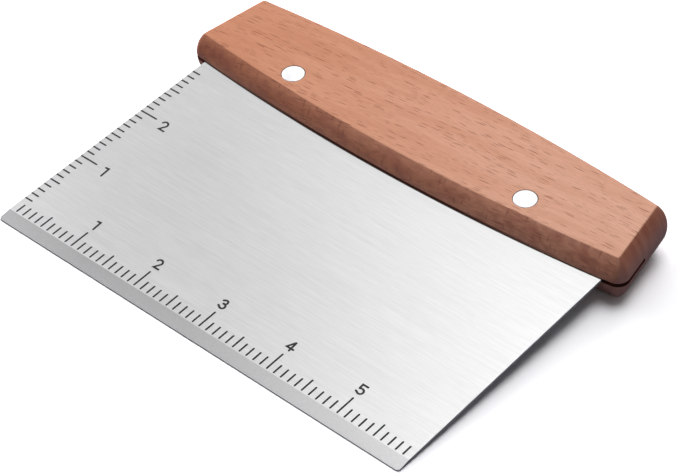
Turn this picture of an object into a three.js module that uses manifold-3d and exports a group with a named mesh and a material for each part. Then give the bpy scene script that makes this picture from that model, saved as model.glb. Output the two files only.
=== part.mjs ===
// Bench scraper: a brushed steel blade, let into a slot sawn along a one-piece beech handle
// and held there by two cutlery rivets. All sizes are in millimetres.
//
// The tool is drawn flat first. x runs along the blade's working edge, with 0 in the middle,
// y runs from the working edge towards the handle, and z = 0 is the middle of the blade's
// thickness. The whole tool is then tilted to the way it lies on a table, on the blade's
// working edge and on the front of the handle's lower face.

import * as THREE from 'three';
import { mergeVertices } from 'three/addons/utils/BufferGeometryUtils.js';
import Module from 'manifold-3d';

// Blade
const BLADE_WIDTH = 152.4;
const BLADE_DEPTH = 100; // from the working edge to the edge hidden in the handle
const BLADE_THICKNESS = 1;
const EDGE_THICKNESS = 0.5; // what the grind leaves at the working edge
const GRIND_WIDTH = 4.4;
const BLADE_CORNER_RADIUS = 1;

// Handle. Its outline is widest at the blade's level and is given there.
const HANDLE_THICKNESS = 15.9;
const FRONT_Y = 83.3; // the middle of the bowed front
const BACK_Y = 121.2; // the middle of the bowed back
const FRONT_BOW_RADIUS = 704;
const BACK_BOW_RADIUS = 800;
const END_X = 82.5; // half the handle's length, END_Y from the working edge
const END_Y = 91.2;
const END_SLANT = THREE.MathUtils.degToRad(9.4); // the ends lean in towards the back
const CORNER_RADIUS = 3.9;
const SIDE_RADIUS = 11.2; // the sides' rounding, seen in cross-section
const SLOT_WIDTH = 1.6;
const SLOT_END_Y = 101.5;

// Rivets
const RIVET_X = 44.4;
const RIVET_Y = 93.8;
const HEAD_RADIUS = 3.55;
const HEAD_THICKNESS = 1.2;
const HEAD_DOME = 0.25; // how far the head's crown stands proud of the wood
const BARREL_RADIUS = 2.1;
const BORE_RADIUS = 1.5;
const PIN_RADIUS = 1.2;
const CLEARANCE = 0.3;
const HEAD_CLEARANCE = 0.15; // between a head's rim and the wood

// Fineness of the curved surfaces
const BOW_STEPS = 24;
const CORNER_STEPS = 6;
const SIDE_STEPS = 12;
const ROUND_STEPS = 32;
const DOME_STEPS = 4;

const HALF_THICKNESS = HANDLE_THICKNESS / 2;
const HALF_TURN = Math.PI;
const QUARTER_TURN = Math.PI / 2;
const CUT_LENGTH = 400; // long enough to run past the whole tool
const CUT_PAST = 1; // how far a cutter runs past a face
const SAME_POINT = 1e-5; // points nearer than this are one

const materials = {
  steel: new THREE.MeshStandardMaterial({ color: 0xd2d3d3, roughness: 0.35, metalness: 1 }),
  beech: new THREE.MeshStandardMaterial({ color: 0xd09a7a, roughness: 0.55, metalness: 0 }),
  rivet: new THREE.MeshStandardMaterial({ color: 0xe9e9ec, roughness: 0.25, metalness: 1 }),
};

const wasm = await Module();
wasm.setup();

// A closed three.js geometry as a solid that can be cut
function solidOf(geometry) {
  const bare = geometry.clone();
  bare.deleteAttribute('normal');
  bare.deleteAttribute('uv');
  const merged = mergeVertices(bare, SAME_POINT);
  const mesh = new wasm.Mesh({
    numProp: 3,
    vertProperties: new Float32Array(merged.attributes.position.array),
    triVerts: new Uint32Array(merged.index.array),
  });
  return new wasm.Manifold(mesh);
}

function geometryOf(solid) {
  const mesh = solid.getMesh();
  const geometry = new THREE.BufferGeometry();
  geometry.setAttribute('position', new THREE.BufferAttribute(mesh.vertProperties, 3));
  geometry.setIndex(new THREE.BufferAttribute(mesh.triVerts, 1));
  geometry.computeVertexNormals();
  return geometry;
}

// An upright cylinder between two heights
function cylinder(x, y, radius, low, high) {
  const geometry = new THREE.CylinderGeometry(radius, radius, high - low, ROUND_STEPS);
  geometry.rotateX(QUARTER_TURN);
  geometry.translate(x, y, (low + high) / 2);
  return solidOf(geometry);
}

// ---- Blade ----

// The plate's thickness and its ground edge, as a section drawn in y and z, run along x
function bladeSection() {
  const half = BLADE_THICKNESS / 2;
  const section = new THREE.Shape([
    new THREE.Vector2(0, -half),
    new THREE.Vector2(BLADE_DEPTH, -half),
    new THREE.Vector2(BLADE_DEPTH, half),
    new THREE.Vector2(GRIND_WIDTH, half),
    new THREE.Vector2(0, EDGE_THICKNESS - half),
  ]);
  const geometry = new THREE.ExtrudeGeometry(section, { depth: BLADE_WIDTH, bevelEnabled: false });
  geometry.rotateX(QUARTER_TURN);
  geometry.rotateZ(QUARTER_TURN);
  geometry.translate(-BLADE_WIDTH / 2, 0, 0);
  return solidOf(geometry);
}

// The plate's outline, with the two corners of the working edge rounded
function bladeOutline() {
  const half = BLADE_WIDTH / 2;
  const r = BLADE_CORNER_RADIUS;
  const outline = new THREE.Shape();
  outline.moveTo(-half, BLADE_DEPTH);
  outline.lineTo(-half, r);
  outline.absarc(-half + r, r, r, HALF_TURN, 1.5 * HALF_TURN);
  outline.absarc(half - r, r, r, 1.5 * HALF_TURN, 2 * HALF_TURN);
  outline.lineTo(half, BLADE_DEPTH);
  const depth = BLADE_THICKNESS + 2 * CUT_PAST;
  const settings = { depth, bevelEnabled: false, curveSegments: CORNER_STEPS };
  const geometry = new THREE.ExtrudeGeometry(outline, settings);
  geometry.translate(0, 0, -depth / 2);
  return solidOf(geometry);
}

function bladeGeometry() {
  const past = BLADE_THICKNESS / 2 + CUT_PAST;
  const hole = (x) => cylinder(x, RIVET_Y, BARREL_RADIUS + CLEARANCE, -past, past);
  const plate = bladeSection().intersect(bladeOutline());
  return geometryOf(plate.subtract(hole(-RIVET_X)).subtract(hole(RIVET_X)));
}

// ---- Handle ----

// Points along an arc of the outline. Each keeps its arc's centre and radius, so that the
// outline can be drawn in by any distance.
function outlineArc(centre, radius, from, to, steps) {
  return Array.from({ length: steps + 1 }, (_, i) => {
    const angle = from + (to - from) * i / steps;
    return { centre, radius, normal: new THREE.Vector2(Math.cos(angle), Math.sin(angle)) };
  });
}

function outlinePoint({ centre, radius, normal }, inset) {
  return centre.clone().addScaledVector(normal, radius - inset);
}

// The handle's outline, anticlockwise: two long bows and two straight slanted ends, joined by
// four rounded corners that touch both of their neighbours
function handleOutline() {
  const endNormal = new THREE.Vector2(Math.cos(END_SLANT), Math.sin(END_SLANT));
  const endPoint = new THREE.Vector2(END_X, END_Y);
  const frontCentre = new THREE.Vector2(0, FRONT_Y + FRONT_BOW_RADIUS);
  const backCentre = new THREE.Vector2(0, BACK_Y - BACK_BOW_RADIUS);
  const frontReach = FRONT_BOW_RADIUS - CORNER_RADIUS;
  const backReach = BACK_BOW_RADIUS - CORNER_RADIUS;
  const toEnd = (centre) => endPoint.clone().sub(centre).dot(endNormal) - CORNER_RADIUS;
  const frontTurn = END_SLANT + Math.asin(toEnd(frontCentre) / frontReach);
  const backTurn = Math.asin(toEnd(backCentre) / backReach) - END_SLANT;

  const corner = (side, centre, reach, angle) => new THREE.Vector2(
    side * reach * Math.sin(angle), centre.y + reach * Math.cos(angle),
  );
  const frontRight = corner(1, frontCentre, frontReach, HALF_TURN - frontTurn);
  const frontLeft = corner(-1, frontCentre, frontReach, HALF_TURN - frontTurn);
  const backRight = corner(1, backCentre, backReach, backTurn);
  const backLeft = corner(-1, backCentre, backReach, backTurn);

  const front = -QUARTER_TURN;
  const back = QUARTER_TURN;
  const rightEnd = END_SLANT;
  const leftEnd = HALF_TURN - END_SLANT;
  const r = CORNER_RADIUS;
  const points = [
    ...outlineArc(frontCentre, FRONT_BOW_RADIUS, front - frontTurn, front + frontTurn, BOW_STEPS),
    ...outlineArc(frontRight, r, front + frontTurn, rightEnd, CORNER_STEPS),
    ...outlineArc(backRight, r, rightEnd, back - backTurn, CORNER_STEPS),
    ...outlineArc(backCentre, BACK_BOW_RADIUS, back - backTurn, back + backTurn, BOW_STEPS),
    ...outlineArc(backLeft, r, back + backTurn, leftEnd, CORNER_STEPS),
    ...outlineArc(frontLeft, r, leftEnd, 2 * HALF_TURN + front - frontTurn, CORNER_STEPS),
  ];
  const apart = (a, b) => outlinePoint(a, 0).distanceTo(outlinePoint(b, 0)) > SAME_POINT;
  return points.filter((point, i) => apart(point, points.at(i - 1)));
}

// The solid wood before it is sawn and drilled: the outline at each height, drawn in by the
// rounding of the sides, and closed by the two flat faces
function handleBlank() {
  const outline = handleOutline();
  const count = outline.length;
  const steepest = Math.asin(HALF_THICKNESS / SIDE_RADIUS);
  const positions = [];
  for (let level = 0; level <= SIDE_STEPS; level++) {
    const angle = steepest * (2 * level / SIDE_STEPS - 1);
    const inset = SIDE_RADIUS * (1 - Math.cos(angle));
    for (const point of outline) {
      const { x, y } = outlinePoint(point, inset);
      positions.push(x, y, SIDE_RADIUS * Math.sin(angle));
    }
  }
  const middle = (FRONT_Y + BACK_Y) / 2;
  positions.push(0, middle, -HALF_THICKNESS, 0, middle, HALF_THICKNESS);

  const faces = [];
  const lowCentre = count * (SIDE_STEPS + 1);
  const highCentre = lowCentre + 1;
  const lastRing = count * SIDE_STEPS;
  for (let i = 0; i < count; i++) {
    const next = (i + 1) % count;
    for (let ring = 0; ring < lastRing; ring += count) {
      faces.push(ring + i, ring + next, ring + count + next);
      faces.push(ring + i, ring + count + next, ring + count + i);
    }
    faces.push(lowCentre, next, i, highCentre, lastRing + i, lastRing + next);
  }
  const geometry = new THREE.BufferGeometry();
  geometry.setAttribute('position', new THREE.Float32BufferAttribute(positions, 3));
  geometry.setIndex(faces);
  return solidOf(geometry);
}

function slot() {
  const geometry = new THREE.BoxGeometry(CUT_LENGTH, SLOT_END_Y, SLOT_WIDTH);
  geometry.translate(0, SLOT_END_Y / 2, 0);
  return solidOf(geometry);
}

// A hole right through the wood for a rivet's barrel, and a counterbore for each of its heads
function rivetHole(x) {
  const past = HALF_THICKNESS + CUT_PAST;
  const seat = HALF_THICKNESS - HEAD_THICKNESS - CLEARANCE;
  const seatRadius = HEAD_RADIUS + HEAD_CLEARANCE;
  return cylinder(x, RIVET_Y, BARREL_RADIUS + CLEARANCE, -past, past)
    .add(cylinder(x, RIVET_Y, seatRadius, seat, past))
    .add(cylinder(x, RIVET_Y, seatRadius, -past, -seat));
}

function handleGeometry() {
  const sawn = handleBlank().subtract(slot());
  return geometryOf(sawn.subtract(rivetHole(-RIVET_X)).subtract(rivetHole(RIVET_X)));
}

// ---- Rivets ----

// A domed head, as a profile from its crown to its rim's lower edge, for a head that faces up
function headProfile() {
  const domeRadius = (HEAD_RADIUS ** 2 + HEAD_DOME ** 2) / (2 * HEAD_DOME);
  const points = [];
  for (let i = 0; i <= DOME_STEPS; i++) {
    const r = HEAD_RADIUS * i / DOME_STEPS;
    const drop = domeRadius - Math.sqrt(domeRadius ** 2 - r ** 2);
    points.push(new THREE.Vector2(r, HALF_THICKNESS + HEAD_DOME - drop));
  }
  points.push(new THREE.Vector2(HEAD_RADIUS, HALF_THICKNESS - HEAD_THICKNESS));
  return points;
}

// A profile turned round an upright axis, with its top at the front of the list
function turned(profile) {
  const geometry = new THREE.LatheGeometry(profile.reverse(), ROUND_STEPS);
  geometry.rotateX(QUARTER_TURN);
  return geometry;
}

// The hollow half of a rivet, its head facing up
function barrelGeometry() {
  const underHead = HALF_THICKNESS - HEAD_THICKNESS;
  const mouth = CLEARANCE - underHead;
  const boreEnd = underHead - HEAD_THICKNESS;
  return turned([
    ...headProfile(),
    new THREE.Vector2(BARREL_RADIUS, underHead),
    new THREE.Vector2(BARREL_RADIUS, mouth),
    new THREE.Vector2(BORE_RADIUS, mouth),
    new THREE.Vector2(BORE_RADIUS, boreEnd),
    new THREE.Vector2(0, boreEnd),
  ]);
}

// The solid half of a rivet, turned over so that its head faces down
function pinGeometry() {
  const underHead = HALF_THICKNESS - HEAD_THICKNESS;
  const tip = -(underHead - HEAD_THICKNESS - CLEARANCE);
  const geometry = turned([
    ...headProfile(),
    new THREE.Vector2(PIN_RADIUS, underHead),
    new THREE.Vector2(PIN_RADIUS, tip),
    new THREE.Vector2(0, tip),
  ]);
  return geometry.rotateX(HALF_TURN);
}

// ---- Assembly ----

function piece(name, geometry, material, x = 0, y = 0) {
  const mesh = new THREE.Mesh(geometry, material.clone());
  mesh.name = name;
  mesh.position.set(x, y, 0);
  return mesh;
}

const tool = new THREE.Group();
tool.add(piece('blade', bladeGeometry(), materials.steel));
tool.add(piece('handle', handleGeometry(), materials.beech));
for (const [side, x] of [['left', -RIVET_X], ['right', RIVET_X]]) {
  tool.add(piece(`rivet_${side}_barrel`, barrelGeometry(), materials.rivet, x, RIVET_Y));
  tool.add(piece(`rivet_${side}_pin`, pinGeometry(), materials.rivet, x, RIVET_Y));
}

// The tilt brings the working edge and the front of the handle's lower face to one level
const faceInset = SIDE_RADIUS - Math.sqrt(SIDE_RADIUS ** 2 - HALF_THICKNESS ** 2);
tool.rotation.x = Math.atan2(HALF_THICKNESS - BLADE_THICKNESS / 2, FRONT_Y + faceInset);

// The origin is the middle of the bottom of the tool's own box
const box = new THREE.Box3().setFromObject(tool, true);
const centre = box.getCenter(new THREE.Vector3());
tool.position.set(-centre.x, -centre.y, -box.min.z);

const group = new THREE.Group();
group.add(tool);

export default group;
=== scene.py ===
# Bench scraper: a brushed steel blade with an inch ruler etched on it, let into a slot sawn along
# a one-piece beech handle and held there by two cutlery rivets.
#
# The pieces are drawn in the tool's own flat place: x runs along the working edge with 0 in the
# middle, y from the working edge towards the handle, and z = 0 is the middle of the blade's
# thickness. Each is then laid down as the tool rests on a table. All sizes are in metres.

import math

import bmesh
import bpy
from mathutils import Matrix, Vector


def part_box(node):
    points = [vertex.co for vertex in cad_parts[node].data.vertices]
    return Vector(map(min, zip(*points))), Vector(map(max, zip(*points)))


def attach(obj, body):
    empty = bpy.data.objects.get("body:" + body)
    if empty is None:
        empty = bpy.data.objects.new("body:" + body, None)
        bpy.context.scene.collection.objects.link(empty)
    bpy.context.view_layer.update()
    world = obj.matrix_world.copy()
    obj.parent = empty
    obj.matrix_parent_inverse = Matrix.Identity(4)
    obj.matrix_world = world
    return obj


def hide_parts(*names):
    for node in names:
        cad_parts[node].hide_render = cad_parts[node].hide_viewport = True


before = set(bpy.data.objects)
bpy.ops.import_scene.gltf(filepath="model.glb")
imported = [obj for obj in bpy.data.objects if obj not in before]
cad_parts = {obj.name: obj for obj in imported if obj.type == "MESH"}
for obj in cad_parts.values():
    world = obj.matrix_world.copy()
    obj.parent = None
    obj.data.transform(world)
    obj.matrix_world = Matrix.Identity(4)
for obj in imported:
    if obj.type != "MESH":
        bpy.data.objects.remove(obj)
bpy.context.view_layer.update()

MM = 0.001

# Blade
BLADE_WIDTH = 152.4 * MM
BLADE_DEPTH = 100 * MM
BLADE_THICKNESS = 1 * MM
EDGE_THICKNESS = 0.5 * MM
GRIND_WIDTH = 4.4 * MM
BLADE_CORNER_RADIUS = 1 * MM
BLADE_TOP = BLADE_THICKNESS / 2

# Handle, its outline given where it is widest, at the blade's level
HANDLE_THICKNESS = 15.9 * MM
HANDLE_TOP = HANDLE_THICKNESS / 2
FRONT_Y = 83.3 * MM
BACK_Y = 121.2 * MM
FRONT_BOW_RADIUS = 704 * MM
BACK_BOW_RADIUS = 800 * MM
END_X = 82.5 * MM
END_Y = 91.2 * MM
END_SLANT = math.radians(9.4)
CORNER_RADIUS = 3.9 * MM
SIDE_RADIUS = 11.2 * MM
SLOT_WIDTH = 1.3 * MM
SLOT_END_Y = 101.5 * MM
DRILL_PAST = 1 * MM
SAW_REACH = 200 * MM

# Rivets
RIVET_X = 44.4 * MM
RIVET_Y = 93.8 * MM
HEAD_RADIUS = 3.55 * MM
HEAD_THICKNESS = 1.2 * MM
HEAD_DOME = 0.25 * MM
BARREL_RADIUS = 2.1 * MM
BORE_RADIUS = 1.5 * MM
PIN_RADIUS = 1.2 * MM
CLEARANCE = 0.3 * MM
HEAD_CLEARANCE = 0.15 * MM

# Eased edges, and the part of the handle's easing that the slot and the rivets' seats get
BLADE_EASE = 0.09 * MM
HANDLE_EASE = 0.3 * MM
RIM_EASE = 0.12 * MM
FINE_SHARE = 0.15

# Ruler
TENTH = 2.54 * MM
INCH = 10 * TENTH
MARK_WIDTH = 0.58 * MM
MARK_HEIGHT = 0.012 * MM
MARK_ROOT = 0.02 * MM
NUMERAL_STROKE = 0.66 * MM
NUMERAL_LEAN = 0.06
# Its marks' lengths are for a tenth, a half and a whole inch
FRONT_MARK_COUNT = 59
FRONT_MARK_Y = 4.75 * MM
FRONT_MARK_LENGTHS = (3.65 * MM, 5 * MM, 7 * MM)
FRONT_NUMERAL_HEIGHT = 3.9 * MM
FRONT_NUMERAL_Y = 13.2 * MM
FRONT_NUMERAL_SHIFT = 0.2 * MM
SIDE_MARK_COUNT = 29
SIDE_ZERO_Y = 8.1 * MM
SIDE_MARK_X = 0.1 * MM
SIDE_MARK_LENGTHS = (3.1 * MM, 4.1 * MM, 6.9 * MM)
SIDE_NUMERAL_HEIGHT = 4.2 * MM
SIDE_NUMERAL_X = 10.8 * MM
SIDE_NUMERAL_DROP = 3 * MM

# Fineness of the curved surfaces
BOW_STEPS = 48
CORNER_STEPS = 12
SIDE_STEPS = 16
ROUND_STEPS = 96
DOME_STEPS = 8
EASE_STEPS = 3
STROKE_END_STEPS = 6
BOWL_STEPS = 12
OUTLINE_MERGE = 0.01 * MM
TURNED_MERGE = 0.001 * MM

# Wood. A pair of colours is for the handle's left end and its right end; the right end is paler, a
# painted sheen.
GRAIN_TURN = math.radians(-4)
GRAIN_SWAY = 8 * MM
WOOD_RELIEF = 0.05 * MM
SHEEN_REACH = 90 * MM
# The reach of the painted shadow on the slot's lips, and the margin of the painted shade in the slot
# and the seats
LIP_SHADE = 1 * MM
EDGE_SHADE = 0.02 * MM
WARM_WOOD = (0.75, 0.315, 0.175, 1), (0.92, 0.50, 0.355, 1)
DEEP_WOOD = (0.69, 0.27, 0.14, 1), (0.87, 0.445, 0.30, 1)
FIBRE_COLOUR = (0.50, 0.19, 0.10, 1)
PORE_COLOUR = (0.38, 0.12, 0.06, 1)
DASH_COLOUR = (0.30, 0.062, 0.024, 1)
SIDE_TINT = (0.80, 0.67, 0.63, 1)
FLAKE_COLOUR = (0.32, 0.10, 0.06, 1)
BLOTCH_COLOUR = (0.42, 0.13, 0.085, 1)
MOTTLE_COLOUR = (0.33, 0.10, 0.065, 1)
END_GRAIN_COLOUR = (0.38, 0.105, 0.06, 1)
# A painted glow of the light that the table gives back, where the wood looks down
PAINTED_BOUNCE_COLOUR = (0.72, 0.44, 0.42, 1)
# The painted shade in the slot, on its lips and in the rivets' seats
PAINTED_WOOD_SHADE_COLOUR = (0.09, 0.015, 0.008, 1)

# Steel. A pair of colours is for the left and the right, and for low and high grit on the grind. The
# right is paler on the blade and on the grind, a painted reflection.
METAL_RELIEF = 0.002 * MM
GRIND_BLUR = 0.05 * MM
# How far before the handle the painted shade on the steel starts
SLOT_SHADE = 0.38 * MM
DULL_STEEL = (0.55, 0.55, 0.555, 1), (0.655, 0.655, 0.655, 1)
BRIGHT_STEEL = (0.635, 0.635, 0.64, 1), (0.745, 0.745, 0.745, 1)
SCRATCH_COLOUR = (0.88, 0.88, 0.88, 1)
LEFT_GRIND = (0.32, 0.32, 0.325, 1), (0.46, 0.46, 0.465, 1)
SHEENED_RIGHT_GRIND = (0.49, 0.49, 0.495, 1), (0.66, 0.66, 0.665, 1)
# The painted shade on the steel at the slot's mouth and inside it
SLOT_SHADE_STEEL_COLOUR = (0.02, 0.014, 0.012, 1)

# Rivets' metal and etching
RINGS_PER_METRE = 6000.0
RIVET_COLOURS = (0.82, 0.82, 0.84, 1), (0.88, 0.88, 0.89, 1)
ETCH_COLOURS = (0.012, 0.012, 0.013, 1), (0.035, 0.035, 0.036, 1)

# Table and room. The table's colours are for the light it gives back, and for the camera. The room
# is white to the camera, and its glow is the strength of the light that it gives the tool.
FLOOR_SIZE = 1.4
FLOOR_COLOURS = (0.24, 0.24, 0.29, 1), (1.75, 1.75, 1.8, 1)
ROOM_GLOW = 0.08
LIGHT_DISTANCE = 1.1

# ---- Where the tool lies ----

FACE_INSET = SIDE_RADIUS - math.sqrt(SIDE_RADIUS ** 2 - HANDLE_TOP ** 2)
TILT = math.atan2(HANDLE_TOP - BLADE_TOP, FRONT_Y + FACE_INSET)
edge_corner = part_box("blade")[0]
edge_middle = (0, edge_corner.y, edge_corner.z + BLADE_TOP * math.cos(TILT))
LAID_DOWN = Matrix.Translation(edge_middle) @ Matrix.Rotation(TILT, 4, "X")


# ---- Camera ----

AIM = Vector((3.2, -0.5, 0)) * MM
CAMERA_DISTANCE = 0.6781
CAMERA_TURN = math.radians(41.39)
CAMERA_RISE = math.radians(41.01)
LENS_MM = 124.5
SENSOR_MM = 36

to_camera = Vector((
    math.sin(CAMERA_TURN) * math.cos(CAMERA_RISE),
    -math.cos(CAMERA_TURN) * math.cos(CAMERA_RISE),
    math.sin(CAMERA_RISE),
))
camera = bpy.data.objects.new("camera", bpy.data.cameras.new("camera"))
camera.data.lens = LENS_MM
camera.data.sensor_width = SENSOR_MM
camera.location = AIM + CAMERA_DISTANCE * to_camera
camera.rotation_euler = to_camera.to_track_quat("Z", "Y").to_euler()
bpy.context.scene.collection.objects.link(camera)
bpy.context.scene.camera = camera


# ---- Making pieces ----

def new_piece(name, mesh):
    piece = bpy.data.objects.new(name, mesh)
    bpy.context.scene.collection.objects.link(piece)
    return piece


def piece_from(name, points, faces):
    mesh = bpy.data.meshes.new(name)
    mesh.from_pydata(points, [], faces)
    return new_piece(name, mesh)


def apply_stack(piece):
    """Turns a piece and its modifiers into a plain mesh."""
    shaped = piece.evaluated_get(bpy.context.evaluated_depsgraph_get())
    mesh = bpy.data.meshes.new_from_object(shaped)
    piece.modifiers.clear()
    piece.data = mesh


def drill(name, x, y, radius, low, high):
    """A round cutter, upright between two heights."""
    shape = bmesh.new()
    place = Matrix.Translation((x, y, (low + high) / 2))
    bmesh.ops.create_cone(
        shape, cap_ends=True, segments=ROUND_STEPS, radius1=radius, radius2=radius,
        depth=high - low, matrix=place,
    )
    mesh = bpy.data.meshes.new(name)
    shape.to_mesh(mesh)
    return new_piece(name, mesh)


def saw(name, low, high):
    """A square-edged cutter between two corners."""
    shape = bmesh.new()
    low, high = Vector(low), Vector(high)
    place = Matrix.Translation((low + high) / 2) @ Matrix.Diagonal((*(high - low), 1))
    bmesh.ops.create_cube(shape, size=1, matrix=place)
    mesh = bpy.data.meshes.new(name)
    shape.to_mesh(mesh)
    return new_piece(name, mesh)


def combine(piece, others, operation="DIFFERENCE"):
    """Cuts the other pieces from a piece, or joins them to it, and removes them."""
    for other in others:
        step = piece.modifiers.new("Combine", "BOOLEAN")
        step.operation = operation
        step.solver = "EXACT"
        step.object = other
    apply_stack(piece)
    for other in others:
        bpy.data.objects.remove(other)
    return piece


def ease_edges(piece, width, share, sharp=math.radians(25)):
    """Rounds each sharp edge by a share of the width, and leaves the rounding live."""
    shape = bmesh.new()
    shape.from_mesh(piece.data)
    weight = shape.edges.layers.float.new("bevel_weight_edge")
    for edge in shape.edges:
        if edge.is_manifold and edge.calc_face_angle() > sharp:
            middle = (edge.verts[0].co + edge.verts[1].co) / 2
            edge[weight] = share(middle)
    shape.to_mesh(piece.data)
    piece.data.shade_smooth()
    rounding = piece.modifiers.new("Eased edges", "BEVEL")
    rounding.limit_method = "WEIGHT"
    rounding.width = width
    rounding.segments = EASE_STEPS
    rounding.use_clamp_overlap = False
    rounding.harden_normals = True
    rounding.loop_slide = False


def finish_piece(piece, material, node=None):
    piece.data.materials.clear()
    piece.data.materials.append(material)
    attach(piece, "root")
    if node:
        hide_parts(node)


# ---- Blade ----

def arc(centre, radius, start, end, steps):
    turns = [start + (end - start) * i / steps for i in range(steps + 1)]
    return [(centre[0] + radius * math.cos(t), centre[1] + radius * math.sin(t)) for t in turns]


def blade():
    half = BLADE_WIDTH / 2
    r = BLADE_CORNER_RADIUS
    outline = [(half, BLADE_DEPTH), (-half, BLADE_DEPTH)]
    outline += arc((r - half, r), r, math.pi, 1.5 * math.pi, CORNER_STEPS)
    outline += arc((half - r, r), r, 1.5 * math.pi, 2 * math.pi, CORNER_STEPS)

    shape = bmesh.new()
    face = shape.faces.new([shape.verts.new((x, y, -BLADE_TOP)) for x, y in outline])
    face.normal_flip()
    grown = bmesh.ops.extrude_face_region(shape, geom=[face])
    for vertex in grown["geom"]:
        if isinstance(vertex, bmesh.types.BMVert):
            vertex.co.z = BLADE_TOP
    everything = shape.verts[:] + shape.edges[:] + shape.faces[:]
    grind_line = Vector((0, GRIND_WIDTH, 0))
    bmesh.ops.bisect_plane(shape, geom=everything, plane_co=grind_line, plane_no=(0, 1, 0))
    drop = (BLADE_THICKNESS - EDGE_THICKNESS) / GRIND_WIDTH
    for vertex in shape.verts:
        if vertex.co.z > 0 and vertex.co.y < GRIND_WIDTH:
            vertex.co.z -= (GRIND_WIDTH - vertex.co.y) * drop
    bmesh.ops.recalc_face_normals(shape, faces=shape.faces)
    mesh = bpy.data.meshes.new("scraper_blade")
    shape.to_mesh(mesh)

    piece = new_piece("scraper_blade", mesh)
    hole = BARREL_RADIUS + CLEARANCE
    combine(piece, [
        drill("hole", side * RIVET_X, RIVET_Y, hole, -BLADE_THICKNESS, BLADE_THICKNESS)
        for side in (-1, 1)
    ])
    ease_edges(piece, BLADE_EASE, lambda at: 1, sharp=math.radians(40))
    piece.data.transform(LAID_DOWN)
    return piece


# ---- Handle ----

def outline_arc(centre, radius, start, end, steps):
    """Points along an arc of the outline, each with its arc's centre, radius and direction."""
    turns = [start + (end - start) * i / steps for i in range(steps + 1)]
    return [(centre, radius, Vector((math.cos(t), math.sin(t)))) for t in turns]


def handle_outline():
    """Anticlockwise: two long bows and two slanted ends, joined by rounded corners."""
    end_normal = Vector((math.cos(END_SLANT), math.sin(END_SLANT)))
    end_point = Vector((END_X, END_Y))
    front_centre = Vector((0, FRONT_Y + FRONT_BOW_RADIUS))
    back_centre = Vector((0, BACK_Y - BACK_BOW_RADIUS))
    front_reach = FRONT_BOW_RADIUS - CORNER_RADIUS
    back_reach = BACK_BOW_RADIUS - CORNER_RADIUS

    def to_end(centre):
        return (end_point - centre).dot(end_normal) - CORNER_RADIUS

    front_turn = END_SLANT + math.asin(to_end(front_centre) / front_reach)
    back_turn = math.asin(to_end(back_centre) / back_reach) - END_SLANT

    def corner(side, centre, reach, turn):
        return Vector((side * reach * math.sin(turn), centre.y + reach * math.cos(turn)))

    front, back, left = -math.pi / 2, math.pi / 2, math.pi - END_SLANT
    front_right = corner(1, front_centre, front_reach, math.pi - front_turn)
    front_left = corner(-1, front_centre, front_reach, math.pi - front_turn)
    back_right = corner(1, back_centre, back_reach, back_turn)
    back_left = corner(-1, back_centre, back_reach, back_turn)
    r = CORNER_RADIUS
    points = [
        *outline_arc(front_centre, FRONT_BOW_RADIUS, front - front_turn, front + front_turn, BOW_STEPS),
        *outline_arc(front_right, r, front + front_turn, END_SLANT, CORNER_STEPS),
        *outline_arc(back_right, r, END_SLANT, back - back_turn, CORNER_STEPS),
        *outline_arc(back_centre, BACK_BOW_RADIUS, back - back_turn, back + back_turn, BOW_STEPS),
        *outline_arc(back_left, r, back + back_turn, left, CORNER_STEPS),
        *outline_arc(front_left, r, left, 2 * math.pi + front - front_turn, CORNER_STEPS),
    ]

    def place(point):
        centre, radius, normal = point
        return centre + radius * normal

    def apart(point, before):
        return (place(point) - place(before)).length > OUTLINE_MERGE

    return [point for point, before in zip(points, points[-1:] + points) if apart(point, before)]


def handle():
    outline = handle_outline()
    count = len(outline)
    steepest = math.asin(HANDLE_TOP / SIDE_RADIUS)
    points = []
    for level in range(SIDE_STEPS + 1):
        turn = steepest * (2 * level / SIDE_STEPS - 1)
        inset = SIDE_RADIUS * (1 - math.cos(turn))
        for centre, radius, normal in outline:
            flat = centre + (radius - inset) * normal
            points.append((flat.x, flat.y, SIDE_RADIUS * math.sin(turn)))
    faces = [list(range(count))[::-1], list(range(count * SIDE_STEPS, count * (SIDE_STEPS + 1)))]
    for ring in range(0, count * SIDE_STEPS, count):
        for i in range(count):
            j = (i + 1) % count
            faces.append((ring + i, ring + j, ring + count + j, ring + count + i))
    piece = piece_from("beech_handle", points, faces)

    past = HANDLE_TOP + DRILL_PAST
    seat = HANDLE_TOP - HEAD_THICKNESS - CLEARANCE
    seat_radius = HEAD_RADIUS + HEAD_CLEARANCE
    half_slot = SLOT_WIDTH / 2
    slot_start, slot_end = (-SAW_REACH, 0, -half_slot), (SAW_REACH, SLOT_END_Y, half_slot)
    cutters = [saw("slot", slot_start, slot_end)]
    for side in (-1, 1):
        x = side * RIVET_X
        cutters.append(drill("hole", x, RIVET_Y, BARREL_RADIUS + CLEARANCE, -past, past))
        cutters.append(drill("upper_seat", x, RIVET_Y, seat_radius, seat, past))
        cutters.append(drill("lower_seat", x, RIVET_Y, seat_radius, -past, -seat))
    combine(piece, cutters)

    near_slot = half_slot * 1.1

    def share(at):
        at_slot = abs(at.z) <= near_slot
        beside_rivet = abs(abs(at.x) - RIVET_X)
        behind_rivet = abs(at.y - RIVET_Y)
        at_rivet = max(beside_rivet, behind_rivet) < 2 * HEAD_RADIUS
        return FINE_SHARE if at_slot or at_rivet else 1

    ease_edges(piece, HANDLE_EASE, share)
    piece.data.transform(LAID_DOWN)
    return piece


# ---- Rivets ----

def head_profile():
    """From the crown of a head that faces up to the lower edge of its rim."""
    dome_radius = (HEAD_RADIUS ** 2 + HEAD_DOME ** 2) / (2 * HEAD_DOME)
    points = []
    for i in range(DOME_STEPS + 1):
        r = HEAD_RADIUS * i / DOME_STEPS
        drop = dome_radius - math.sqrt(dome_radius ** 2 - r ** 2)
        points.append((r, HANDLE_TOP + HEAD_DOME - drop))
    return points + [(HEAD_RADIUS, HANDLE_TOP - HEAD_THICKNESS)]


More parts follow.
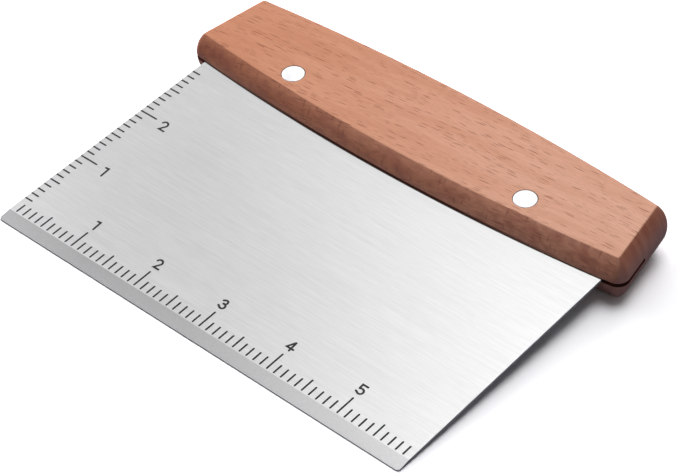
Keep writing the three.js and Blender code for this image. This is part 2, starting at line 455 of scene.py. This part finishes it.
def turned(name, profile, side, upside_down=False):
    """A profile turned round an upright axis, its rims eased, and put in a rivet's place."""
    points = [(r, 0, z) for r, z in profile]
    mesh = bpy.data.meshes.new(name)
    mesh.from_pydata(points, [(i, i + 1) for i in range(len(points) - 1)], [])
    piece = new_piece(name, mesh)
    turning = piece.modifiers.new("Turned", "SCREW")
    turning.steps = turning.render_steps = ROUND_STEPS
    turning.use_merge_vertices = True
    turning.merge_threshold = TURNED_MERGE
    easing = piece.modifiers.new("Eased rims", "BEVEL")
    easing.limit_method = "ANGLE"
    easing.angle_limit = math.radians(50)
    easing.width = RIM_EASE
    easing.segments = EASE_STEPS
    apply_stack(piece)
    own = piece.data.attributes.new("own_place", "FLOAT_VECTOR", "POINT")
    for entry, vertex in zip(own.data, piece.data.vertices):
        entry.vector = vertex.co
    place = LAID_DOWN @ Matrix.Translation((side * RIVET_X, RIVET_Y, 0))
    if upside_down:
        place = place @ Matrix.Rotation(math.pi, 4, "X")
    piece.data.transform(place)
    piece.data.shade_smooth()
    piece.data.set_sharp_from_angle(angle=math.radians(40))
    return piece


def barrel(name, side):
    under_head = HANDLE_TOP - HEAD_THICKNESS
    mouth = CLEARANCE - under_head
    bore_end = under_head - HEAD_THICKNESS
    return turned(name, head_profile() + [
        (BARREL_RADIUS, under_head), (BARREL_RADIUS, mouth),
        (BORE_RADIUS, mouth), (BORE_RADIUS, bore_end), (0, bore_end),
    ], side)


def pin(name, side):
    under_head = HANDLE_TOP - HEAD_THICKNESS
    tip = HEAD_THICKNESS + CLEARANCE - under_head
    return turned(name, head_profile() + [
        (PIN_RADIUS, under_head), (PIN_RADIUS, tip), (0, tip),
    ], side, upside_down=True)


# ---- Ruler ----

def swept(points, width):
    """The outline, anticlockwise, of a line of even width along points, with round ends."""
    r = width / 2
    points = [Vector(point) for point in points]
    runs = [(after - before).normalized() for before, after in zip(points, points[1:])]
    left, right = [], []
    for point, before, after in zip(points[1:], runs, runs[1:]):
        across = (before + after).orthogonal().normalized()
        reach = r / across.dot(before.orthogonal()) * across
        left.append(point + reach)
        right.append(point - reach)
    start, end = (math.atan2(run.y, run.x) for run in (runs[0], runs[-1]))
    quarter = math.pi / 2
    return [
        *arc(points[0], r, start + quarter, start + 3 * quarter, STROKE_END_STEPS),
        *(tuple(point) for point in right),
        *arc(points[-1], r, end - quarter, end + quarter, STROKE_END_STEPS),
        *(tuple(point) for point in left[::-1]),
    ]


def etch(shape, outline):
    """Raises an outline from just inside the blade to just above it."""
    low, high = BLADE_TOP - MARK_ROOT, BLADE_TOP + MARK_HEIGHT
    base = [shape.verts.new((x, y, low)) for x, y in outline]
    crown = [shape.verts.new((x, y, high)) for x, y in outline]
    shape.faces.new(base[::-1])
    shape.faces.new(crown)
    for i, vertex in enumerate(base):
        j = (i + 1) % len(base)
        shape.faces.new((vertex, base[j], crown[j], crown[i]))


def mark_length(number, lengths):
    tenth, half, whole = lengths
    if number % 10 == 0:
        return whole
    return half if number % 5 == 0 else tenth


def bowl(x, y, radius, start, end):
    return arc((x, y), radius, math.radians(start), math.radians(end), BOWL_STEPS)


# The strokes of each numeral, in heights of a numeral, round its middle and up from its foot
NUMERALS = {
    1: [[(-0.17, 0.88), (0.1, 0.92), (0.1, 0.08)]],
    2: [bowl(-0.05, 0.67, 0.25, 170, -35) + [(-0.14, 0.08), (0.35, 0.08)]],
    3: [
        [(-0.25, 0.79)] + bowl(-0.01, 0.73, 0.19, 125, -90) + [(-0.06, 0.54)],
        [(-0.06, 0.555)] + bowl(0.02, 0.32, 0.235, 90, -130) + [(-0.29, 0.25)],
    ],
    4: [[(0.13, 0.92), (0.13, 0.08)], [(0.1, 0.92), (-0.26, 0.3), (0.35, 0.3)]],
    5: [
        [(0.27, 0.92), (-0.19, 0.92), (-0.19, 0.52)],
        [(-0.18, 0.52)] + bowl(0.02, 0.33, 0.25, 110, -130) + [(-0.28, 0.2)],
    ],
}


def numeral(number, x, y, height):
    """A bold numeral with its middle at x and its foot at y, leaning back a little."""
    strokes = []
    for path in NUMERALS[number]:
        points = [(x + (a + NUMERAL_LEAN * (0.5 - b)) * height, y + b * height) for a, b in path]
        shape = bmesh.new()
        etch(shape, swept(points, NUMERAL_STROKE))
        mesh = bpy.data.meshes.new("stroke")
        shape.to_mesh(mesh)
        strokes.append(new_piece("stroke", mesh))
    return combine(strokes[0], strokes[1:], "UNION") if strokes[1:] else strokes[0]


def numerals():
    """The whole inches, along the front and up the left side."""
    left = -BLADE_WIDTH / 2
    for inch in range(1, FRONT_MARK_COUNT // 10 + 1):
        x = left + inch * INCH - FRONT_NUMERAL_SHIFT
        yield numeral(inch, x, FRONT_NUMERAL_Y, FRONT_NUMERAL_HEIGHT)
    for inch in range(1, SIDE_MARK_COUNT // 10 + 1):
        foot = SIDE_ZERO_Y + inch * INCH - SIDE_NUMERAL_DROP
        yield numeral(inch, left + SIDE_NUMERAL_X, foot, SIDE_NUMERAL_HEIGHT)


def ruler():
    left = -BLADE_WIDTH / 2
    end = MARK_WIDTH / 2
    shape = bmesh.new()
    for tenth in range(1, FRONT_MARK_COUNT + 1):
        x = left + tenth * TENTH
        top = FRONT_MARK_Y + mark_length(tenth, FRONT_MARK_LENGTHS)
        etch(shape, swept([(x, FRONT_MARK_Y + end), (x, top - end)], MARK_WIDTH))
    side_start = left + SIDE_MARK_X
    for tenth in range(1, SIDE_MARK_COUNT + 1):
        y = SIDE_ZERO_Y + tenth * TENTH
        side_end = side_start + mark_length(tenth, SIDE_MARK_LENGTHS)
        etch(shape, swept([(side_start + end, y), (side_end - end, y)], MARK_WIDTH))
    for piece in list(numerals()):
        shape.from_mesh(piece.data)
        bpy.data.objects.remove(piece)
    mesh = bpy.data.meshes.new("ruler_marks")
    shape.to_mesh(mesh)
    mesh.transform(LAID_DOWN)
    return new_piece("ruler_marks", mesh)


# ---- Shader nodes ----

NUMBER, VECTOR = "NodeSocketFloat", "NodeSocketVector"


def new_node(tree, kind, inputs=None, **settings):
    node = tree.nodes.new(kind)
    for name, value in settings.items():
        setattr(node, name, value)
    for socket, value in (inputs or {}).items():
        if isinstance(value, bpy.types.NodeSocket):
            tree.links.new(value, node.inputs[socket])
        else:
            node.inputs[socket].default_value = value
    return node


def math_node(tree, operation, *values):
    return new_node(tree, "ShaderNodeMath", dict(enumerate(values)), operation=operation).outputs[0]


def vector_node(tree, operation, *values):
    """Vector maths, with its vector and its number as the outputs."""
    return new_node(tree, "ShaderNodeVectorMath", dict(enumerate(values)), operation=operation).outputs


def split_vector(tree, vector):
    return new_node(tree, "ShaderNodeSeparateXYZ", {"Vector": vector}).outputs


def from_middle(tree, x, y):
    """The distance from the middle of a circle to a point beside it."""
    squares = [math_node(tree, "POWER", part, 2.0) for part in (x, y)]
    return math_node(tree, "SQRT", math_node(tree, "ADD", *squares))


def smooth_step(tree, value, low, high):
    """0 at low, 1 at high, and smooth between them."""
    inputs = {"Value": value, "From Min": low, "From Max": high}
    return new_node(tree, "ShaderNodeMapRange", inputs, interpolation_type="SMOOTHSTEP").outputs[0]


def mix_colour(tree, share, first, second, blend="MIX"):
    mixer = new_node(tree, "ShaderNodeMix", data_type="RGBA", blend_type=blend)
    for socket, value in ((0, share), (6, first), (7, second)):
        if isinstance(value, bpy.types.NodeSocket):
            tree.links.new(value, mixer.inputs[socket])
        else:
            mixer.inputs[socket].default_value = value
    return mixer.outputs[2]


def stained(tree, colour, mask, strength, stain):
    """A colour, stained where a mask is."""
    return mix_colour(tree, math_node(tree, "MULTIPLY", mask, strength), colour, stain)


def laid_flat(tree):
    """Object coordinates, turned back to the tool's own flat place and started at its edge."""
    place = new_node(tree, "ShaderNodeTexCoord").outputs["Object"]
    settings = {"Vector": place, "Location": edge_middle, "Rotation": (TILT, 0, 0)}
    return new_node(tree, "ShaderNodeMapping", settings, vector_type="TEXTURE").outputs[0]


def bump(tree, height, distance):
    return new_node(tree, "ShaderNodeBump", {"Height": height, "Distance": distance}).outputs[0]


# ---- Effects that the finishes share ----

def new_effect(name, inputs, output):
    """A shader node group. Inputs are (name, kind, value), and the output is a number."""
    group = bpy.data.node_groups.new(name, "ShaderNodeTree")
    for label, kind, value in inputs:
        socket = group.interface.new_socket(label, in_out="INPUT", socket_type=kind)
        if value is not None:
            socket.default_value = value
    group.interface.new_socket(output, in_out="OUTPUT", socket_type=NUMBER)
    start = group.nodes.new("NodeGroupInput")
    end = group.nodes.new("NodeGroupOutput")
    return group, start.outputs, end.inputs[output]


def streaks_effect():
    """Noise drawn out along x: a value round a half, with its own length and width."""
    group, given, end = new_effect(
        "Streaks",
        [("Place", VECTOR, None), ("Length", NUMBER, 0.03), ("Width", NUMBER, 0.001),
         ("Depth", NUMBER, 0.001), ("Detail", NUMBER, 2.0), ("Start", NUMBER, 0.0)],
        "Value",
    )
    size = {0: given["Length"], 1: given["Width"], 2: given["Depth"]}
    size = new_node(group, "ShaderNodeCombineXYZ", size).outputs[0]
    shrunk = vector_node(group, "DIVIDE", given["Place"], size)["Vector"]
    inputs = {"Vector": shrunk, "W": given["Start"], "Scale": 1.0, "Detail": given["Detail"]}
    noise = new_node(group, "ShaderNodeTexNoise", inputs, noise_dimensions="4D")
    group.links.new(noise.outputs["Fac"], end)
    return group


def flecks_effect():
    """Slim grains along x, each at its own point of a loose grid of cells, in a share of the cells."""
    group, given, end = new_effect(
        "Flecks",
        [("Place", VECTOR, None), ("Cell", VECTOR, (0.005, 0.002, 0.009)),
         ("Reach", VECTOR, (0.0014, 0.00012, 0.0025)), ("Share", NUMBER, 0.5),
         ("Softness", NUMBER, 0.5)],
        "Mask",
    )
    scaled = vector_node(group, "DIVIDE", given["Place"], given["Cell"])["Vector"]
    inputs = {"Vector": scaled, "Scale": 1.0, "Randomness": 0.85}
    cells = new_node(group, "ShaderNodeTexVoronoi", inputs).outputs
    away = vector_node(group, "SUBTRACT", scaled, cells["Position"])["Vector"]
    away = vector_node(group, "MULTIPLY", away, given["Cell"])["Vector"]
    away = vector_node(group, "DIVIDE", away, given["Reach"])["Vector"]
    away = vector_node(group, "LENGTH", away)["Value"]
    chance = new_node(group, "ShaderNodeSeparateColor", {"Color": cells["Color"]}).outputs
    size = math_node(group, "MULTIPLY_ADD", chance["Red"], 0.8, 0.5)
    inner = math_node(group, "SUBTRACT", size, math_node(group, "MULTIPLY", size, given["Softness"]))
    mask = smooth_step(group, away, size, inner)
    chosen = math_node(group, "LESS_THAN", chance["Green"], given["Share"])
    group.links.new(math_node(group, "MULTIPLY", mask, chosen), end)
    return group


STREAKS = streaks_effect()
FLECKS = flecks_effect()


def placed(tree, effect, **inputs):
    """An effect in a material, its inputs given by name."""
    node = new_node(tree, "ShaderNodeGroup", node_tree=effect)
    for label, value in inputs.items():
        if isinstance(value, bpy.types.NodeSocket):
            tree.links.new(value, node.inputs[label])
        else:
            node.inputs[label].default_value = value
    return node.outputs[0]


def streaks(tree, place, size, detail, start):
    """The Streaks effect. The size is a length, a width and a depth."""
    length, width, depth = size
    return placed(
        tree, STREAKS, Place=place, Length=length, Width=width, Depth=depth, Detail=detail, Start=start,
    )


def flecks(tree, place, cell, reach, share, softness):
    """The Flecks effect. The cell and the reach are along x, y and z."""
    return placed(tree, FLECKS, Place=place, Cell=cell, Reach=reach, Share=share, Softness=softness)


# ---- Finishes ----

def new_finish(name, **constants):
    """A material with its Principled shader, whose constant inputs are set on its own sockets."""
    material = bpy.data.materials.new(name)
    material.use_nodes = True
    shader = material.node_tree.nodes["Principled BSDF"]
    for label, value in constants.items():
        shader.inputs[label.replace("_", " ")].default_value = value
    return material, material.node_tree, shader


def wire(tree, shader, **values):
    """Links nodes to the shader's inputs."""
    for label, value in values.items():
        tree.links.new(value, shader.inputs[label.replace("_", " ")])


def wavy_grain(tree, flat):
    """The tool's flat place, turned as the grain lies and swaying slowly aside."""
    turned_place = {"Vector": flat, "Rotation": (0, 0, GRAIN_TURN)}
    grain = new_node(tree, "ShaderNodeMapping", turned_place).outputs[0]
    sway = streaks(tree, grain, (0.06, 0.03, 0.03), detail=0.0, start=5.0)
    aside = {1: math_node(tree, "MULTIPLY", sway, GRAIN_SWAY)}
    aside = new_node(tree, "ShaderNodeCombineXYZ", aside).outputs[0]
    return vector_node(tree, "ADD", grain, aside)["Vector"]


def beech_marks(tree, grain):
    """The wood's soft bands, fine fibres, dark dashes and small pores, from 0 to 1."""
    bands = streaks(tree, grain, (0.05, 0.003, 0.012), detail=2.0, start=1.0)
    fibres = streaks(tree, grain, (0.005, 0.00025, 0.0006), detail=3.0, start=2.0)
    crowd = streaks(tree, grain, (0.02, 0.006, 0.012), detail=1.0, start=3.0)
    crowd = smooth_step(tree, crowd, 0.3, 0.7)
    dashes = flecks(
        tree, grain, cell=(0.0048, 0.0007, 0.009), reach=(0.0021, 0.00009, 0.0035),
        share=math_node(tree, "MULTIPLY_ADD", crowd, 0.5, 0.5), softness=0.4,
    )
    pores = flecks(
        tree, grain, cell=(0.0024, 0.0005, 0.004), reach=(0.0011, 0.00007, 0.0015),
        share=math_node(tree, "MULTIPLY_ADD", crowd, 0.5, 0.4), softness=0.7,
    )
    return smooth_step(tree, bands, 0.35, 0.65), fibres, dashes, pores


def facing_masks(tree):
    """1 on the rounded sides, off the flat faces, on the ends, and where the wood looks down, which
    takes a painted glow of light from the table.
    """
    outward = new_node(tree, "ShaderNodeTexCoord").outputs["Normal"]
    rise = split_vector(tree, outward)["Z"]
    facing = split_vector(tree, vector_node(tree, "ABSOLUTE", outward)["Vector"])
    on_side = smooth_step(tree, facing["Y"], 0.5, 0.95)
    off_face = smooth_step(tree, facing["Y"], 0.5, 0.68)
    on_end = smooth_step(tree, facing["X"], 0.4, 0.8)
    rise = math_node(tree, "MULTIPLY_ADD", on_end, -0.4, rise)
    return on_side, off_face, on_end, smooth_step(tree, rise, 0.3, -0.4)


def painted_wood_shade(tree, flat):
    """Painted shade: 1 in the slot, a painted shadow on its lips in mid-handle, and 1 in the rivets'
    seats.
    """
    place = split_vector(tree, flat)
    off_blade = math_node(tree, "ABSOLUTE", place["Z"])
    off_centre = math_node(tree, "ABSOLUTE", place["X"])
    lip = SLOT_WIDTH / 2 + LIP_SHADE
    on_lip = smooth_step(tree, off_blade, lip, lip - LIP_SHADE / 2)
    mid_handle = smooth_step(tree, off_centre, END_X, END_X / 4)
    on_lip = math_node(tree, "MULTIPLY", on_lip, mid_handle)
    slot_shade_mask = math_node(tree, "LESS_THAN", off_blade, SLOT_WIDTH / 2 + EDGE_SHADE)
    slot_shade_mask = math_node(tree, "MAXIMUM", slot_shade_mask, on_lip)
    before_end = math_node(tree, "LESS_THAN", place["Y"], SLOT_END_Y + EDGE_SHADE)
    slot_shade_mask = math_node(tree, "MULTIPLY", slot_shade_mask, before_end)
    beside_rivet = math_node(tree, "SUBTRACT", off_centre, RIVET_X)
    behind_rivet = math_node(tree, "SUBTRACT", place["Y"], RIVET_Y)
    from_rivet = from_middle(tree, beside_rivet, behind_rivet)
    in_seat = math_node(tree, "LESS_THAN", from_rivet, HEAD_RADIUS + HEAD_CLEARANCE + EDGE_SHADE)
    return math_node(tree, "MAXIMUM", slot_shade_mask, in_seat)


def with_side_marks(tree, colour, flat, grain, on_side, off_face):
    """The handle's sides are redder than its faces, with ray flakes, blotches and mottling."""
    redder = mix_colour(tree, 1.0, colour, SIDE_TINT, blend="MULTIPLY")
    colour = mix_colour(tree, on_side, colour, redder)
    flakes = flecks(
        tree, flat, cell=(0.003, 0.05, 0.005), reach=(0.0006, 0.1, 0.0017), share=0.6, softness=0.8,
    )
    flakes = math_node(tree, "MULTIPLY", flakes, off_face)
    colour = stained(tree, colour, flakes, 0.5, FLAKE_COLOUR)
    blotches = streaks(tree, grain, (0.008, 0.03, 0.004), detail=2.0, start=8.0)
    blotches = math_node(tree, "MULTIPLY", smooth_step(tree, blotches, 0.45, 0.65), on_side)
    colour = stained(tree, colour, blotches, 0.55, BLOTCH_COLOUR)
    mottle = streaks(tree, flat, (0.003, 0.05, 0.0013), detail=3.0, start=11.0)
    mottle = math_node(tree, "MULTIPLY", smooth_step(tree, mottle, 0.4, 0.65), on_side)
    return stained(tree, colour, mottle, 0.37, MOTTLE_COLOUR)


def with_end_grain(tree, colour, flat, on_end):
    rings = streaks(tree, flat, (0.02, 0.0022, 0.012), detail=2.0, start=10.0)
    strength = math_node(tree, "MULTIPLY_ADD", smooth_step(tree, rings, 0.35, 0.65), 0.18, 0.7)
    return stained(tree, colour, on_end, strength, END_GRAIN_COLOUR)


def beech_finish():
    """Oiled beech: short dark dashes along the grain, over soft bands and fine fibres."""
    material, tree, shader = new_finish("Oiled beech", IOR=1.48, Specular_IOR_Level=0.3)
    flat = laid_flat(tree)
    grain = wavy_grain(tree, flat)
    bands, fibres, dashes, pores = beech_marks(tree, grain)
    on_side, off_face, on_end, bounce_mask = facing_masks(tree)
    wood_shade_mask = painted_wood_shade(tree, flat)

    # Painted sheen: the wood gets paler towards the handle's right end.
    sheen_to_right = smooth_step(tree, split_vector(tree, flat)["X"], -SHEEN_REACH, SHEEN_REACH)
    warm = mix_colour(tree, sheen_to_right, *WARM_WOOD)
    deep = mix_colour(tree, sheen_to_right, *DEEP_WOOD)
    colour = mix_colour(tree, bands, deep, warm)
    colour = stained(tree, colour, smooth_step(tree, fibres, 0.35, 0.7), 0.28, FIBRE_COLOUR)
    colour = stained(tree, colour, pores, 0.6, PORE_COLOUR)
    dash_strength = math_node(tree, "MULTIPLY_ADD", on_side, -0.4, 0.84)
    colour = stained(tree, colour, dashes, dash_strength, DASH_COLOUR)
    colour = with_side_marks(tree, colour, flat, grain, on_side, off_face)
    colour = with_end_grain(tree, colour, flat, on_end)
    # Painted light: a pale glow from the table where the wood looks down.
    colour = stained(tree, colour, bounce_mask, 0.45, PAINTED_BOUNCE_COLOUR)
    # Painted shade in the slot, on its lips and in the rivets' seats.
    colour = mix_colour(tree, wood_shade_mask, colour, PAINTED_WOOD_SHADE_COLOUR)

    hollow = math_node(tree, "ADD", dashes, math_node(tree, "MULTIPLY", pores, 0.4))
    rough = math_node(tree, "MULTIPLY_ADD", hollow, 0.2, 0.46)
    rough = math_node(tree, "MAXIMUM", rough, wood_shade_mask)
    height = math_node(tree, "SUBTRACT", math_node(tree, "MULTIPLY", fibres, 0.2), hollow)
    wire(tree, shader, Base_Color=colour, Roughness=rough, Normal=bump(tree, height, WOOD_RELIEF))
    return material


def brushed_steel(tree, flat, sheen_to_right, streak_tone):
    dull = mix_colour(tree, sheen_to_right, *DULL_STEEL)
    bright = mix_colour(tree, sheen_to_right, *BRIGHT_STEEL)
    scratches = flecks(
        tree, flat, cell=(0.02, 0.0012, 1.0), reach=(0.007, 0.00006, 1.0), share=0.35, softness=0.9,
    )
    return stained(tree, mix_colour(tree, streak_tone, dull, bright), scratches, 0.5, SCRATCH_COLOUR)


# The grind, its colours going paler towards the right as a painted reflection.
def ground_steel(tree, flat, grind_sheen_to_right):
    grit = streaks(tree, flat, (0.0012, 0.0002, 0.01), detail=2.0, start=9.0)
    rough = mix_colour(tree, grit, *LEFT_GRIND)
    sheened = mix_colour(tree, grit, *SHEENED_RIGHT_GRIND)
    return mix_colour(tree, grind_sheen_to_right, rough, sheened)


def brushed_finish():
    """Steel brushed along x, with a coarser, darker grind along the working edge."""
    material, tree, shader = new_finish("Brushed steel", Metallic=1.0)
    flat = laid_flat(tree)
    place = split_vector(tree, flat)
    broad = streaks(tree, flat, (0.03, 0.0007, 0.01), detail=2.0, start=1.0)
    fine = streaks(tree, flat, (0.006, 0.00016, 0.01), detail=3.0, start=2.0)
    broad = math_node(tree, "MULTIPLY", broad, 0.4)
    streak = math_node(tree, "ADD", broad, math_node(tree, "MULTIPLY", fine, 0.6))
    tone = smooth_step(tree, streak, 0.3, 0.7)
    # Painted reflection: the blade and its grind get paler towards the right.
    sheen_to_right = smooth_step(tree, place["X"], -BLADE_WIDTH / 2, BLADE_WIDTH / 2)
    grind_sheen_to_right = smooth_step(tree, place["X"], -BLADE_WIDTH / 3, BLADE_WIDTH / 2)
    past_grind = smooth_step(tree, place["Y"], GRIND_WIDTH - GRIND_BLUR, GRIND_WIDTH + GRIND_BLUR)
    ground = ground_steel(tree, flat, grind_sheen_to_right)
    colour = mix_colour(tree, past_grind, ground, brushed_steel(tree, flat, sheen_to_right, tone))

    # Painted shade: the steel darkens in a thin line in front of the handle and inside the slot.
    bow_centre = (0, FRONT_Y + FRONT_BOW_RADIUS, 0)
    from_bow = vector_node(tree, "DISTANCE", flat, bow_centre)["Value"]
    shade_start, shade_end = FRONT_BOW_RADIUS + SLOT_SHADE, FRONT_BOW_RADIUS + SLOT_SHADE / 2
    slot_shade_mask = smooth_step(tree, from_bow, shade_start, shade_end)
    colour = mix_colour(tree, slot_shade_mask, colour, SLOT_SHADE_STEEL_COLOUR)
    rough = math_node(tree, "MULTIPLY_ADD", tone, 0.05, 0.36)
    wire(tree, shader, Base_Color=colour, Roughness=rough, Normal=bump(tree, streak, METAL_RELIEF))
    return material


def rivet_finish():
    """Bright metal with the faint rings of its turning."""
    material, tree, shader = new_finish("Polished rivet", Metallic=1.0)
    own = new_node(tree, "ShaderNodeAttribute", attribute_name="own_place").outputs["Vector"]
    place = split_vector(tree, own)
    from_axis = from_middle(tree, place["X"], place["Y"])
    inputs = {"W": math_node(tree, "MULTIPLY", from_axis, RINGS_PER_METRE), "Scale": 1.0, "Detail": 2.0}
    rings = new_node(tree, "ShaderNodeTexNoise", inputs, noise_dimensions="1D").outputs["Fac"]
    colour = mix_colour(tree, rings, *RIVET_COLOURS)
    rough = math_node(tree, "MULTIPLY_ADD", rings, 0.06, 0.4)
    wire(tree, shader, Base_Color=colour, Roughness=rough, Normal=bump(tree, rings, METAL_RELIEF))
    return material


def etched_finish():
    """The dark, dull lines that etching leaves."""
    material, tree, shader = new_finish("Etched marks", Specular_IOR_Level=0.3)
    speckle = streaks(tree, laid_flat(tree), (0.0002, 0.0002, 0.0002), detail=2.0, start=7.0)
    rough = math_node(tree, "MULTIPLY_ADD", speckle, 0.2, 0.5)
    wire(tree, shader, Base_Color=mix_colour(tree, speckle, *ETCH_COLOURS), Roughness=rough)
    return material


# ---- The tool ----

steel = brushed_finish()
beech = beech_finish()
rivet_metal = rivet_finish()
etched = etched_finish()

finish_piece(blade(), steel, "blade")
wooden_handle = handle()
wooden_handle.visible_glossy = False
finish_piece(wooden_handle, beech, "handle")
for side_name, side in (("left", -1), ("right", 1)):
    barrel_name = f"rivet_{side_name}_barrel"
    pin_name = f"rivet_{side_name}_pin"
    for half_name, half in ((barrel_name, barrel), (pin_name, pin)):
        half_rivet = half("bright_" + half_name, side)
        half_rivet.visible_glossy = False
        finish_piece(half_rivet, rivet_metal, half_name)
finish_piece(ruler(), etched)


# ---- Floor and light ----

def seen_by_camera(tree):
    return new_node(tree, "ShaderNodeLightPath").outputs["Is Camera Ray"]


def floor():
    """A white table that gives back little light, so that the shadows on it stay dark."""
    half = FLOOR_SIZE / 2
    corners = [(-half, -half, 0), (half, -half, 0), (half, half, 0), (-half, half, 0)]
    piece = piece_from("floor", corners, [(0, 1, 2, 3)])
    material, tree, shader = new_finish("White table", Roughness=0.9)
    wire(tree, shader, Base_Color=mix_colour(tree, seen_by_camera(tree), *FLOOR_COLOURS))
    piece.data.materials.append(material)


def room():
    world = bpy.data.worlds.new("White room")
    world.use_nodes = True
    tree = world.node_tree
    background = tree.nodes["Background"]
    strength = math_node(tree, "MULTIPLY_ADD", seen_by_camera(tree), 1 - ROOM_GLOW, ROOM_GLOW)
    tree.links.new(strength, background.inputs["Strength"])
    background.inputs["Color"].default_value = (1, 1, 1, 1)
    bpy.context.scene.world = world


def softbox(name, turn, rise, brightness, size=0.75, only_gloss=False):
    """A square light that faces the tool. The turn is 0 at the front and 90 at the right."""
    turn, rise = math.radians(turn), math.radians(rise)
    back = Vector((math.sin(turn) * math.cos(rise), -math.cos(turn) * math.cos(rise), math.sin(rise)))
    light = bpy.data.lights.new(name, "AREA")
    light.size = size
    light.energy = math.pi * size ** 2 * brightness
    lamp = bpy.data.objects.new(name, light)
    lamp.visible_camera = False
    lamp.visible_diffuse = not only_gloss
    lamp.location = LIGHT_DISTANCE * back
    lamp.rotation_euler = back.to_track_quat("Z", "Y").to_euler()
    bpy.context.scene.collection.objects.link(lamp)


floor()
room()
softbox("overhead_light", turn=165, rise=80, brightness=3.8, size=0.6)
softbox("left_light", turn=292, rise=52, brightness=0.8)
softbox("left_back_light", turn=202, rise=52, brightness=1.1)
softbox("low_left_back_light", turn=225, rise=25, brightness=1.05)
softbox("low_left_light", turn=270, rise=25, brightness=3.1)
softbox("front_right_gloss", turn=55, rise=20, brightness=0.5, size=1.2, only_gloss=True)
softbox("front_left_gloss", turn=325, rise=20, brightness=0.5, size=1.2, only_gloss=True)
bpy.context.scene.view_settings.view_transform = "Standard"
